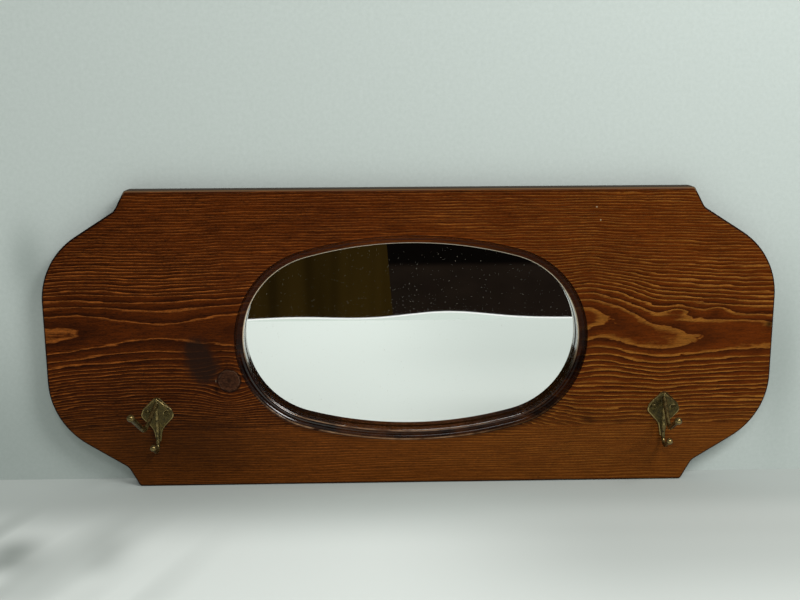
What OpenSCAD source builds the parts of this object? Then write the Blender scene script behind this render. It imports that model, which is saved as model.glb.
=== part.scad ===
// Wall mirror with coat hooks: a shaped pine board, glued up from two planks, with an oval
// opening that has a routed cove-and-round moulding, a mirror glass let into the back of the
// board, and a cast brass double hook on each side of the mirror.
//
// X runs to the right, Z up, and the front faces -Y. The origin is the middle of the board on
// the plane of the wall. Each piece is drawn as seen from the front, with x to the right, y up
// and z out of the wall, and stand_up() turns that drawing upright.

/* [Board] */
// Width of the board across its two bulging sides
board_w = 762; // [720:1:800]
// Height of the board
board_h = 316; // [310:1:330]
// Thickness of the planks
board_t = 22; // [20:0.5:26]
// Length of the straight top and bottom edges
edge_w = 581; // [570:1:590]
// Width between the hollow corners
notch_w = 604; // [600:1:612]
// Drop from the straight edge to the hollow corner
notch_drop = 21; // [18:0.5:26]
// Drop from the straight edge to the meeting point of slope and side
shoulder_drop = 71; // [66:0.5:78]
// Radius where the slope turns into the side
shoulder_r = 81; // [60:1:85]
// Radius of the hollow corner
notch_r = 12; // [8:0.5:14]
// Radius of the four outer corners
corner_r = 4; // [3.5:0.1:6]
// Width of the bevel round the front edge
front_bevel = 2.4; // [1:0.1:3]
// Width of the bevel round the back edge
back_bevel = 1.8; // [1:0.1:3]
// Height of the narrow lower plank
lower_plank_h = 63; // [55:0.5:66]

/* [Oval opening and moulding] */
// Width of the oval at the face of the board
oval_w = 369; // [350:1:380]
// Height of the oval at the face of the board
oval_h = 219; // [208:1:222]
// Radius of the two end arcs of the oval
oval_end_r = 98; // [90:1:100]
// Bevel on the rim of the moulding
rim_bevel = 0.7; // [0.3:0.1:1.5]
// Straight step below the rim
rim_step = 0.6; // [0.3:0.1:1.5]
// Radius of the hollow part of the moulding
cove_r = 4.7; // [3.5:0.1:5]
// Width of the flat between the hollow and the round part
quirk_w = 0.6; // [0.3:0.1:1]
// Radius of the round part of the moulding
ovolo_r = 2.7; // [2:0.1:3.5]
// Flats that each quarter round of the moulding is made of
arc_steps = 5; // [4:1:6]

/* [Mirror and back] */
// Thickness of the mirror glass
glass_t = 3; // [2:0.5:4]
// Cover of the glass outside the rim of the oval
glass_lap = 1; // [0.5:0.1:1.5]
// Gap between the glass and the edge of its recess
glass_gap = 0.8; // [0.5:0.1:1]
// Width of the backing board
backing_w = 402; // [400:1:410]
// Height of the backing board
backing_h = 246; // [244:1:250]
// Thickness of the backing board
backing_t = 3; // [2.5:0.5:4]
// Distance from the backing board's edge to its screws
backing_inset = 6; // [5:0.1:6.5]

/* [Hooks] */
// Distance between the two hooks
hook_span = 536; // [520:1:545]
// Height of the hook screws below the middle of the board
hook_drop = 76; // [70:0.5:80]
// Distance between the two screws of a hook
hook_screw_span = 20.6; // [19:0.1:22]
// Thickness of the hook's plate
hook_plate_t = 2.6; // [2.2:0.1:3.2]
// Width of the hook's plate
hook_plate_w = 33; // [31:0.5:35]
// Reach of the upper prong from the board to its ball
upper_reach = 67; // [60:0.5:75]
// Reach of the lower prong from the board to its ball
lower_reach = 29; // [26:0.5:32]
// Radius of the upper prong at its bend
upper_r = 2.2; // [2:0.1:2.6]
// Radius of the upper prong next to its ball
upper_tip_r = 2.9; // [2.4:0.1:3.1]
// Radius of the ball on the upper prong
upper_ball_r = 4.1; // [3.6:0.1:4.6]
// Radius of the lower prong
lower_r = 2.3; // [2:0.1:2.6]
// Radius of the ball on the lower prong
lower_ball_r = 3.7; // [3.2:0.1:4]

/* [Hangers] */
// Distance between the two keyhole plates
hanger_span = 540; // [520:5:560]
// Height of the keyhole plates above the middle of the board
hanger_rise = 112; // [108:0.5:116]
// Height of a keyhole plate
hanger_h = 46; // [42:1:50]
// Width of a keyhole plate
hanger_w = 16; // [16:0.5:20]
// Thickness of a keyhole plate
hanger_t = 1.5; // [1.2:0.1:2]
// Radius of the round entry of the keyhole
key_entry_r = 4.75; // [4.5:0.05:5]
// Width of the slot of the keyhole
key_slot_w = 4.6; // [4:0.1:5]
// Height of the slot above the entry
key_rise = 12; // [10:0.5:13]

/* [Dowels] */
// Diameter of the dowels in the glue joint
dowel_d = 8; // [6:0.5:9]
// Length of a dowel
dowel_l = 40; // [30:1:44]

/* [Hidden] */

// Colours
pine = [0.48, 0.24, 0.09];
beech = [0.80, 0.62, 0.42];
silver = [0.86, 0.90, 0.90];
hardboard = [0.42, 0.28, 0.18];
brass = [0.45, 0.42, 0.22];
steel = [0.70, 0.71, 0.72];

// Planes, as distances from the wall
back_z = backing_t;
front_z = back_z + board_t;
recess_z = back_z + glass_t;
mid_z = (back_z + front_z) / 2;
over = 1;
seam_y = lower_plank_h - board_h / 2;
outline_steps = 10;
round_fn = 48;
small_fn = 24;

// The oval is four arcs that meet without a corner, two of them round its ends
end_x = oval_w / 2 - oval_end_r;
flat_r = (end_x * end_x + oval_h * oval_h / 4 - oval_end_r * oval_end_r) / (oval_h - 2 * oval_end_r);
flat_y = flat_r - oval_h / 2;
flat_half = atan(end_x / flat_y);
end_half = 90 - flat_half;
end_steps = 24;
flat_steps = 14;

// Section of the moulding, inwards from the rim and down from the face
cove_top = rim_bevel + rim_step;
cove_in = 0.4;
quirk_depth = cove_top + cove_r;
ovolo_in = cove_in + cove_r + quirk_w;
wall_in = ovolo_in + ovolo_r;
wall_top = quirk_depth + ovolo_r;

// Wood screws: shank radius, head radius, height of the cone under the head, length
hook_screw = [1.5, 3.5, 2.0, 16];
backing_screw = [1.3, 2.6, 1.3, 10];
hanger_screw = [1.5, 2.9, 1.4, 15];
screw_fit = 0.08;
dome_h = 0.9;
cross_w = 0.9;
cross_depth = 0.8;
cross_share = 0.55;
hook_screw_turn = 20;

backing_screw_at = [
    for (sx = [-1, 1], sy = [-1, 1])
        [sx * (backing_w / 2 - 2 * backing_inset), sy * (backing_h / 2 - 2 * backing_inset)],
    for (sx = [-1, 1]) [sx * (backing_w / 2 - backing_inset), 0],
    for (sy = [-1, 1]) [0, sy * (backing_h / 2 - backing_inset)]
];
backing_corner_r = 8;
backing_steps = 6;
hook_screw_at = [for (s = [-1, 1]) [s * hook_screw_span / 2, 0]];
hanger_screw_inset = 5;
hanger_screw_at = [for (s = [-1, 1]) [0, s * (hanger_h / 2 - hanger_screw_inset)]];

// Pocket for a keyhole plate, and the deeper room behind it for the head of the wall screw
pocket_fit = 0.2;
key_y = -key_rise / 2;
key_room = 1.5;
key_depth = 9;

dowel_x = [200, 318];
dowel_fit = 0.05;
dowel_spare = 1;

// Hook, in its own middle plane: u is the distance from the board and v the height
hook_top = 17;
hook_tail = 32;
boss_v = 9.5;
boss_u = 1.8;
boss_r = 4.4;
upper_root = [1.9, 2.8];
lower_root = [2.4, 2.2];
upper_down = -24;
upper_up = 36;
upper_bend_r = 8;
upper_run = 34;
lower_down = -86;
lower_up = 25;
lower_bend_r = 9;
lower_run = 33;
bend_steps = 7;
ball_steps = 7;
ball_turn = 178;
prong_sides = 16;
prong_steps = 3;
plate_steps = 8;

function unit(a) = a / norm(a);
function turn(a) = [cos(a), sin(a)];
function angle_of(a) = atan2(a[1], a[0]);

// Corner i of a closed outline of [x, y, radius] points, as arc points set in by an inset.
function arc_corner(pts, i, inset, steps) =
    let (
        n = len(pts),
        p = [pts[i][0], pts[i][1]],
        before = [pts[(i + n - 1) % n][0], pts[(i + n - 1) % n][1]],
        after = [pts[(i + 1) % n][0], pts[(i + 1) % n][1]],
        u = unit(before - p),
        v = unit(after - p),
        half = acos(u * v) / 2,
        side = sign(u[0] * v[1] - u[1] * v[0]),
        centre = p + unit(u + v) * pts[i][2] / sin(half),
        r = pts[i][2] + side * inset,
        start = angle_of(p + u * pts[i][2] / tan(half) - centre),
        sweep = side * (180 - 2 * half)
    )
    [for (k = [0:steps]) centre + r * turn(start - sweep * k / steps)];

// Closed outline with every corner rounded. Its corners run against the clock.
function rounded(pts, inset, steps) = [
    for (i = [0:len(pts) - 1], q = arc_corner(pts, i, inset, steps)) q
];

// Mirror image of a run of points in the y axis, and in the x axis, in reverse order.
function flip_x(pts) = [for (i = [len(pts) - 1:-1:0]) [-pts[i][0], pts[i][1], pts[i][2]]];
function flip_y(pts) = [for (i = [len(pts) - 1:-1:0]) [pts[i][0], -pts[i][1], pts[i][2]]];

// Corners of the board as [x, y, radius], from its side to its top edge
board_quarter = [
    [board_w / 2, board_h / 2 - shoulder_drop, shoulder_r],
    [notch_w / 2, board_h / 2 - notch_drop, notch_r],
    [edge_w / 2, board_h / 2, corner_r]
];
board_half = concat(board_quarter, flip_x(board_quarter));
board_corners = concat(board_half, flip_y(board_half));
function board_outline(inset) = rounded(board_corners, inset, outline_steps);

// Corners of the hook's plate as [x, y, radius], from its tail up its right side
plate_half = [
    [2.6, -hook_tail, 2.2],
    [4.6, -17, 16],
    [hook_plate_w / 2 + 1.6, -3.5, 6],
    [hook_plate_w / 2 - 1.4, 4.5, 5]
];
plate_corners = concat(plate_half, [[0, hook_top + 2.2, 6]], flip_x(plate_half));

// Points of the oval, set out from the rim by a margin.
function oval(margin) = [
    for (k = [0:end_steps])
        [end_x, 0] + (oval_end_r + margin) * turn(end_half * (2 * k / end_steps - 1)),
    for (k = [1:flat_steps - 1])
        [0, -flat_y] + (flat_r + margin) * turn(90 + flat_half * (2 * k / flat_steps - 1)),
    for (k = [0:end_steps])
        [-end_x, 0] + (oval_end_r + margin) * turn(180 + end_half * (2 * k / end_steps - 1)),
    for (k = [1:flat_steps - 1])
        [0, flat_y] + (flat_r + margin) * turn(270 + flat_half * (2 * k / flat_steps - 1))
];

// Section of the opening from the front to the back, as [margin from the rim, height].
opening_section = [
    [rim_bevel, front_z + over],
    [rim_bevel, front_z],
    [0, front_z - rim_bevel],
    [0, front_z - cove_top],
    for (k = [0:arc_steps])
        [-cove_in - cove_r, front_z - cove_top] + cove_r * turn(-90 * k / arc_steps),
    for (k = [0:arc_steps])
        [-ovolo_in, front_z - wall_top] + ovolo_r * turn(90 + 90 * k / arc_steps),
    [-wall_in, recess_z],
    [glass_lap + glass_gap, recess_z],
    [glass_lap + glass_gap, back_z - over]
];

module stand_up() {
    rotate([90, 0, 0]) children();
}

// Closed skin over rings of equally many points, which run against the clock and downwards.
module skin(rings) {
    n = len(rings[0]);
    last = len(rings) - 1;
    walls = [
        for (ring = [0:last - 1], i = [0:n - 1])
            [ring * n + i, ring * n + (i + 1) % n, (ring + 1) * n + (i + 1) % n, (ring + 1) * n + i]
    ];
    lid = [[for (i = [n - 1:-1:0]) i]];
    base = [[for (i = [0:n - 1]) last * n + i]];
    polyhedron([for (ring = rings, p = ring) p], concat(lid, walls, base));
}

// Bevelled outline of the board. Its bevels run on past both faces, which the planks cut off.
module board_blank() {
    levels = [
        [front_bevel + over, front_z + over], [0, front_z - front_bevel],
        [0, back_z + back_bevel], [back_bevel + over, back_z - over]
    ];
    skin([for (level = levels) [for (p = board_outline(level[0])) [p[0], p[1], level[1]]]]);
}

// What the router takes away for the mirror: the moulding, the opening and the glass recess.
module oval_opening() {
    skin([for (level = opening_section) [for (p = oval(level[0])) [p[0], p[1], level[1]]]]);
}

// A wood screw that points into -z, with the rim of its head at z = 0.
module screw(size, domed) {
    shank_r = size[0];
    head_r = size[1];
    cone_h = size[2];
    cap_r = (head_r * head_r + dome_h * dome_h) / (2 * dome_h);
    difference() {
        union() {
            translate([0, 0, -size[3]]) cylinder(h = size[3] - cone_h, r = shank_r, $fn = small_fn);
            translate([0, 0, -cone_h]) cylinder(h = cone_h, r1 = shank_r, r2 = head_r, $fn = small_fn);
            if (domed)
                intersection() {
                    translate([0, 0, dome_h - cap_r]) sphere(r = cap_r, $fn = round_fn);
                    cylinder(h = 2 * dome_h, r = head_r, $fn = small_fn);
                }
        }
        for (a = [0, 90])
            rotate([0, 0, a])
                translate([-head_r * cross_share, -cross_w / 2, (domed ? dome_h : 0) - cross_depth])
                    cube([2 * head_r * cross_share, cross_w, cross_depth + over]);
    }
}

// Hole for the shank of a screw.
module pilot(size) {
    translate([0, 0, -size[3] - over / 2])
        cylinder(h = size[3] + 2 * over, r = size[0] + screw_fit, $fn = small_fn);
}

// Countersink for the head of a screw.
module seat(size) {
    flare = (size[1] - size[0]) / size[2];
    translate([0, 0, -size[2]])
        cylinder(
            h = size[2] + over, r1 = size[0] + screw_fit,
            r2 = size[1] + screw_fit + flare * over, $fn = small_fn
        );
}

module hook_place(side) {
    translate([side * hook_span / 2, -hook_drop, front_z]) children();
}

module hanger_place(side) {
    translate([side * hanger_span / 2, hanger_rise, back_z]) children();
}

// Upright slab with half-round ends.
module stadium(w, h, t) {
    end_y = (h - w) / 2;
    translate([-w / 2, -end_y, 0]) cube([w, 2 * end_y, t]);
    for (s = [-1, 1]) translate([0, s * end_y, 0]) cylinder(h = t, d = w, $fn = round_fn);
}

module hanger_pocket() {
    pocket_t = hanger_t + pocket_fit / 2;
    room_w = 2 * (key_entry_r + key_room);
    translate([0, 0, -over]) stadium(hanger_w + 2 * pocket_fit, hanger_h + 2 * pocket_fit, pocket_t + over);
    stadium(room_w, key_rise + room_w, key_depth);
}

// The dowels in the glue joint, or the holes for them.
module dowels(l, d) {
    for (side = [-1, 1], x = dowel_x)
        translate([side * x, seam_y, mid_z])
            rotate([90, 0, 0]) cylinder(h = l, d = d, center = true, $fn = small_fn);
}

// Everything that is drilled or routed into the planks.
module plank_cuts() {
    oval_opening();
    for (side = [-1, 1]) {
        hook_place(side)
            for (at = hook_screw_at) translate([at[0], at[1], hook_plate_t]) pilot(hook_screw);
        hanger_place(side) {
            hanger_pocket();
            for (at = hanger_screw_at) translate([at[0], at[1], 0]) rotate([180, 0, 0]) pilot(hanger_screw);
        }
    }
    dowels(dowel_l + 2 * dowel_spare, dowel_d + 2 * dowel_fit);
    for (at = backing_screw_at)
        translate([at[0], at[1], 0]) rotate([180, 0, 0]) pilot(backing_screw);
}

module plank(bottom, top) {
    color(pine)
        stand_up()
            difference() {
                intersection() {
                    board_blank();
                    translate([-board_w, bottom, back_z]) cube([2 * board_w, top - bottom, board_t]);
                }
                plank_cuts();
            }
}

module upper_plank() {
    plank(seam_y, board_h);
}

module lower_plank() {
    plank(-board_h, seam_y);
}

module plank_dowels() {
    color(beech)
        stand_up() dowels(dowel_l, dowel_d);
}

module mirror_glass() {
    color(silver)
        stand_up()
            translate([0, 0, back_z]) linear_extrude(glass_t) polygon(oval(glass_lap));
}

module backing_board() {
    corner = [[backing_w / 2, backing_h / 2, backing_corner_r]];
    top = concat(corner, flip_x(corner));
    color(hardboard)
        stand_up()
            difference() {
                linear_extrude(backing_t) polygon(rounded(concat(top, flip_y(top)), 0, backing_steps));
                for (at = backing_screw_at)
                    translate([at[0], at[1], 0])
                        rotate([180, 0, 0]) {
                            pilot(backing_screw);
                            seat(backing_screw);
                        }
            }
}

module backing_screws() {
    color(steel)
        stand_up()
            for (at = backing_screw_at)
                translate([at[0], at[1], 0]) rotate([180, 0, 0]) screw(backing_screw, false);
}

// A prong is a run of stations [u, v, heading, radius across, radius in its own plane].
function bend_centre(p, heading, r) = p + r * turn(heading + 90);

function run_stations(from, heading, l, r1, r2) = [
    for (k = [0:prong_steps])
        let (part = k / prong_steps) concat(from + l * part * turn(heading), heading, r1 + (r2 - r1) * part)
];

function bend_stations(centre, bend_r, from, to, r) = [
    for (k = [1:bend_steps - 1])
        let (h = from + (to - from) * k / bend_steps) concat(centre - bend_r * turn(h + 90), h, r)
];

// The far part of a ball, from where its radius is that of the prong's end to its pole.
function ball_stations(tip, heading, neck_r, ball_r) =
    let (start = asin(neck_r / ball_r))
    [
        for (k = [1:ball_steps])
            let (
                a = start + (ball_turn - start) * k / ball_steps,
                r = ball_r * sin(a)
            )
            concat(tip + ball_r * (cos(start) - cos(a)) * turn(heading), heading, [r, r])
    ];

// All stations of a prong: down to the bend, round it, and up to the ball at a given reach.
function prong_stations(root, down, run_l, bend_r, up, reach, root_r, bend_rr, tip_r, ball_r) =
    let (
        low = root + run_l * turn(down),
        centre = bend_centre(low, down, bend_r),
        rise = centre - bend_r * turn(up + 90),
        neck = ball_r * cos(asin(tip_r[0] / ball_r)),
        l = (reach - rise[0]) / cos(up) - neck
    )
    concat(
        run_stations(root, down, run_l, root_r, bend_rr),
        bend_stations(centre, bend_r, down, up, bend_rr),
        run_stations(rise, up, l, bend_rr, tip_r),
        ball_stations(rise + l * turn(up), up, tip_r[0], ball_r)
    );

// Skin over the stations of a prong, from its ball back to its foot.
module prong(stations) {
    skin([
        for (i = [len(stations) - 1:-1:0])
            let (s = stations[i])
            [
                for (k = [0:prong_sides - 1])
                    let (a = 360 * k / prong_sides, w = s[4] * sin(a) * turn(s[2] + 90))
                    [s[3] * cos(a), s[1] + w[1], s[0] + w[0]]
            ]
    ]);
}

module upper_prong() {
    prong(prong_stations(
        [boss_u, boss_v], upper_down, upper_run, upper_bend_r, upper_up, upper_reach,
        upper_root, [upper_r, upper_r], [upper_tip_r, upper_tip_r], upper_ball_r
    ));
}

module lower_prong() {
    prong(prong_stations(
        [boss_u, boss_v - 1], lower_down, lower_run, lower_bend_r, lower_up, lower_reach,
        lower_root, [lower_r, lower_r], [lower_r, lower_r], lower_ball_r
    ));
}

// The cast double hook: a shield-shaped plate, a boss at its top and two ball-ended prongs.
module hook(side) {
    color(brass)
        stand_up()
            hook_place(side)
                difference() {
                    union() {
                        linear_extrude(hook_plate_t) polygon(rounded(plate_corners, 0, plate_steps));
                        translate([0, boss_v, boss_u]) sphere(r = boss_r, $fn = round_fn);
                        upper_prong();
                        lower_prong();
                    }
                    translate([-hook_plate_w, -hook_plate_w, -2 * boss_r])
                        cube([2 * hook_plate_w, 2 * hook_plate_w, 2 * boss_r]);
                    for (at = hook_screw_at)
                        translate([at[0], at[1], hook_plate_t]) {
                            pilot(hook_screw);
                            seat(hook_screw);
                        }
                }
}

module hook_screws(side) {
    color(brass)
        stand_up()
            hook_place(side)
                for (at = hook_screw_at)
                    translate([at[0], at[1], hook_plate_t])
                        rotate([0, 0, side * hook_screw_turn]) screw(hook_screw, true);
}

module hanger_plate(side) {
    color(steel)
        stand_up()
            hanger_place(side)
                difference() {
                    stadium(hanger_w, hanger_h, hanger_t);
                    translate([0, key_y, -over])
                        cylinder(h = hanger_t + 2 * over, r = key_entry_r, $fn = round_fn);
                    translate([-key_slot_w / 2, key_y, -over])
                        cube([key_slot_w, key_rise, hanger_t + 2 * over]);
                    translate([0, key_y + key_rise, -over])
                        cylinder(h = hanger_t + 2 * over, d = key_slot_w, $fn = round_fn);
                    for (at = hanger_screw_at)
                        translate([at[0], at[1], 0])
                            rotate([180, 0, 0]) {
                                pilot(hanger_screw);
                                seat(hanger_screw);
                            }
                }
}

module hanger_screws(side) {
    color(steel)
        stand_up()
            hanger_place(side)
                for (at = hanger_screw_at)
                    translate([at[0], at[1], 0]) rotate([180, 0, 0]) screw(hanger_screw, false);
}

module left_hook() {
    hook(-1);
}

module right_hook() {
    hook(1);
}

module left_hook_screws() {
    hook_screws(-1);
}

module right_hook_screws() {
    hook_screws(1);
}

module left_hanger_plate() {
    hanger_plate(-1);
}

module right_hanger_plate() {
    hanger_plate(1);
}

module left_hanger_screws() {
    hanger_screws(-1);
}

module right_hanger_screws() {
    hanger_screws(1);
}

upper_plank();
lower_plank();
plank_dowels();
mirror_glass();
backing_board();
backing_screws();
left_hook();
right_hook();
left_hook_screws();
right_hook_screws();
left_hanger_plate();
right_hanger_plate();
left_hanger_screws();
right_hanger_screws();
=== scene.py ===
"""Wall mirror with coat hooks: the looks of the board, the mirror and the brass hooks.

The pieces are drawn from the front in millimetres, with x to the right, y up and z out of the wall,
and stand_up() turns each of them upright into the frame's metres.
"""
import math

import bmesh
import bpy
from mathutils import Matrix, Vector


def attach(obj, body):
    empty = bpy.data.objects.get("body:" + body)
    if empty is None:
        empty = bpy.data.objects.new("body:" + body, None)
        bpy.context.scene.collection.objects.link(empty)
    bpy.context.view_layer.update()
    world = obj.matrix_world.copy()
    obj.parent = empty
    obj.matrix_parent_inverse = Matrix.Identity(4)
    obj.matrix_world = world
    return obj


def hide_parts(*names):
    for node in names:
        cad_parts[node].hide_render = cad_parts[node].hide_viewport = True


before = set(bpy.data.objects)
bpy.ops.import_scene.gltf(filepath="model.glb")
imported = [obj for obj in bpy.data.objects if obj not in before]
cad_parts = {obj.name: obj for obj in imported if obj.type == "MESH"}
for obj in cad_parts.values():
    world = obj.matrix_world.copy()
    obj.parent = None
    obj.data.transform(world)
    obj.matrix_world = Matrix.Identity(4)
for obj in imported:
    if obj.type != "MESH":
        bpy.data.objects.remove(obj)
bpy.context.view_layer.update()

MM = 0.001

# How far a cutter runs past the face that it cuts
OVER = 1

# Board
BOARD_W, BOARD_H = 762, 316
BACK_Z, FRONT_Z = 3, 25
EDGE_W = 581
NOTCH_W, NOTCH_DROP, NOTCH_R = 604, 21, 12
SHOULDER_DROP, SHOULDER_R = 71, 81
CORNER_R = 4
FRONT_ROUND, BACK_ROUND = 3.0, 2.0
SEAM_Y = -95

# Oval of four arcs, and the moulding round it
OVAL_W, OVAL_H, OVAL_END_R = 369, 219, 98
RIM_ROUND, RIM_STEP, COVE_IN, COVE_R = 0.7, 0.6, 0.4, 4.7
QUIRK_W, OVOLO_R = 0.6, 2.7
WALL_IN = COVE_IN + COVE_R + QUIRK_W + OVOLO_R
RECESS_Z = 6
GLASS_LAP, GLASS_GAP = 1, 0.8
SILVER_DEPTH, SILVER_STEP = 2.7, 0.3

# Hooks, in their own frame: v up from the screws, u out from the board
HOOK_X, HOOK_Y = 268, -76
HOOK_SCREW_X = 10.3
PLATE_T, PLATE_W, PLATE_TAIL, PLATE_TOP = 2.6, 33, 32, 17
PLATE_BEVEL, PLATE_RIDGE = 0.8, 2.4
UPPER_BALL_R, LOWER_BALL_R = 3.9, 3.5
PRONG_BENDS = 5
CAST_VOXEL = 0.36

# Keyhole plates in the back
HANGER_X, HANGER_Y = 270, 112
HANGER_W, HANGER_H, HANGER_T = 16, 46, 1.5
KEY_ROOM_W, KEY_ROOM_H, KEY_DEPTH = 12.5, 24.5, 9
POCKET_GAP = 0.4

# The knot beside the mirror, and where the board's top arris catches the light
KNOT_X, KNOT_Z = -191.7, -42
TOP_ARRIS_Z = 154.6

# Stage, in metres: the wall, the cloth in front of it, and the room that the mirror sees
WALL_GAP = 0.0005
STAGE_W, WALL_H, CLOTH_D = 4, 2.4, 3
ROOM_W, ROOM_H, ROOM_Y = 3, 0.5, -0.784
WORLD_LIGHT, WORLD_GLOSS = 0.62, 0.25

# Camera, in metres, with the directions of its right and its up
CAMERA_AT = (-0.0382, -1.0811, 0.2575)
CAMERA_RIGHT = (0.99965, -0.02586, -0.00494)
CAMERA_UP = (0.01, 0.19905, 0.97994)
CAMERA_LENS, CAMERA_SENSOR = 46.8, 36


# ---------------------------------------------------------------- modelling

def rounded(corners, steps):
    """Closed outline through corners (x, y, radius), with an arc at each corner."""
    points = []
    for i, (x, y, radius) in enumerate(corners):
        here = Vector((x, y))
        before = (Vector(corners[i - 1][:2]) - here).normalized()
        after = (Vector(corners[(i + 1) % len(corners)][:2]) - here).normalized()
        half = before.angle(after) / 2
        sweep = math.copysign(math.pi - 2 * half, before.cross(after))
        centre = here + (before + after).normalized() * radius / math.sin(half)
        start = here + before * radius / math.tan(half) - centre
        for k in range(steps + 1):
            points.append(centre + Matrix.Rotation(-sweep * k / steps, 2) @ start)
    return points


def mirrored(corners):
    """Corners that run from the right to the middle, with the left ones that mirror them."""
    return corners + [(-x, y, radius) for x, y, radius in reversed(corners)]


def board_outline():
    """Points of the board's outline, with its notched corners and bulging sides."""
    upper = mirrored([
        (BOARD_W / 2, BOARD_H / 2 - SHOULDER_DROP, SHOULDER_R),
        (NOTCH_W / 2, BOARD_H / 2 - NOTCH_DROP, NOTCH_R),
        (EDGE_W / 2, BOARD_H / 2, CORNER_R),
    ])
    return rounded(upper + [(x, -y, radius) for x, y, radius in reversed(upper)], 14)


def flat_arcs():
    """Middle of the end arcs, and radius and drop of the flat arcs that meet them without a corner."""
    end_x = OVAL_W / 2 - OVAL_END_R
    flat_r = (end_x ** 2 + OVAL_H ** 2 / 4 - OVAL_END_R ** 2) / (OVAL_H - 2 * OVAL_END_R)
    return end_x, flat_r, flat_r - OVAL_H / 2


def oval(margin, steps=56):
    """Points of the oval, set out from the rim by a margin."""
    end_x, flat_r, flat_y = flat_arcs()
    flat_half = math.atan(end_x / flat_y)
    arcs = [
        (end_x, 0, OVAL_END_R, 0, math.pi / 2 - flat_half),
        (0, -flat_y, flat_r, math.pi / 2, flat_half),
        (-end_x, 0, OVAL_END_R, math.pi, math.pi / 2 - flat_half),
        (0, flat_y, flat_r, 1.5 * math.pi, flat_half),
    ]
    return [
        Vector((x, y)) + Matrix.Rotation(middle + half * (2 * k / steps - 1), 2) @ Vector((r + margin, 0))
        for x, y, r, middle, half in arcs
        for k in range(steps)
    ]


def stadium(width, height, steps=12):
    """Points of an upright slot with round ends."""
    r = width / 2
    rise = height / 2 - r
    arc = [math.pi * k / steps for k in range(steps + 1)]
    top = [(r * math.cos(a), rise + r * math.sin(a)) for a in arc]
    return top + [(-x, -y) for x, y in top]


def only(piece):
    """Makes a piece the one that operators act on."""
    bpy.ops.object.select_all(action="DESELECT")
    piece.select_set(True)
    bpy.context.view_layer.objects.active = piece


def named(name):
    """Names the object that an operator has just added."""
    piece = bpy.context.object
    piece.name = name
    piece.data.name = name
    return piece


def pick(piece, kind, test):
    """In edit mode, selects only the vertices, edges or faces that pass a test."""
    bpy.ops.mesh.select_mode(type=kind)
    bpy.ops.mesh.select_all(action="DESELECT")
    mesh = bmesh.from_edit_mesh(piece.data)
    for item in {"VERT": mesh.verts, "EDGE": mesh.edges, "FACE": mesh.faces}[kind]:
        item.select_set(test(item))
    mesh.select_flush_mode()
    bmesh.update_edit_mesh(piece.data)


def at_height(z):
    """Test for edges or faces that lie in a plane z."""
    return lambda item: all(abs(v.co.z - z) < 0.01 for v in item.verts)


def outline_face(name, points, z):
    """A flat face with the given outline, made from a disc with as many corners."""
    bpy.ops.object.select_all(action="DESELECT")
    bpy.ops.mesh.primitive_circle_add(vertices=len(points), radius=1, fill_type="NGON")
    face = named(name)
    for corner, (x, y) in zip(face.data.vertices, points):
        corner.co = (x, y, z)
    return face


def extrude(distance):
    """Draws what is selected out along z."""
    bpy.ops.mesh.extrude_region_move(TRANSFORM_OT_translate={"value": (0, 0, distance)})


def slab(name, points, low, high):
    """A flat face drawn out into a slab."""
    piece = outline_face(name, points, low)
    only(piece)
    bpy.ops.object.mode_set(mode="EDIT")
    bpy.ops.mesh.select_all(action="SELECT")
    extrude(high - low)
    bpy.ops.mesh.select_all(action="SELECT")
    bpy.ops.mesh.normals_make_consistent(inside=False)
    bpy.ops.object.mode_set(mode="OBJECT")
    return piece


def round_edges(piece, test, width, segments):
    """Bevels the edges that pass a test."""
    only(piece)
    bpy.ops.object.mode_set(mode="EDIT")
    pick(piece, "EDGE", test)
    bpy.ops.mesh.bevel(
        offset=width, segments=segments, profile=0.5, affect="EDGES", clamp_overlap=False
    )
    bpy.ops.object.mode_set(mode="OBJECT")


def apply(piece, kind, **settings):
    """Adds a modifier with these settings and applies it."""
    only(piece)
    modifier = piece.modifiers.new(kind.lower(), kind)
    for key, value in settings.items():
        setattr(modifier, key, value)
    bpy.ops.object.modifier_apply(modifier=modifier.name)


def cut(piece, tool):
    """Takes a tool's shape out of a piece, and removes the tool."""
    apply(piece, "BOOLEAN", object=tool, operation="DIFFERENCE", solver="EXACT")
    bpy.data.objects.remove(tool)


def join(pieces):
    """Makes pieces one, under the name of the first."""
    only(pieces[0])
    for piece in pieces:
        piece.select_set(True)
    bpy.ops.object.join()
    return pieces[0]


def stand_up(piece, smooth=40):
    """Turns a piece upright, into metres, with its place in its mesh and its edges crisp."""
    only(piece)
    upright = Matrix.Rotation(math.pi / 2, 4, "X")
    piece.matrix_world = upright @ Matrix.Scale(MM, 4) @ piece.matrix_world
    bpy.ops.object.transform_apply(location=True, rotation=True, scale=True)
    bpy.ops.object.shade_smooth_by_angle(angle=math.radians(smooth))
    apply(piece, "WEIGHTED_NORMAL", keep_sharp=True)
    return piece


# ---------------------------------------------------------------- pieces

def quarter(parts):
    """Angles that divide a quarter turn."""
    return [math.pi / 2 * k / parts for k in range(parts + 1)]


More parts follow.
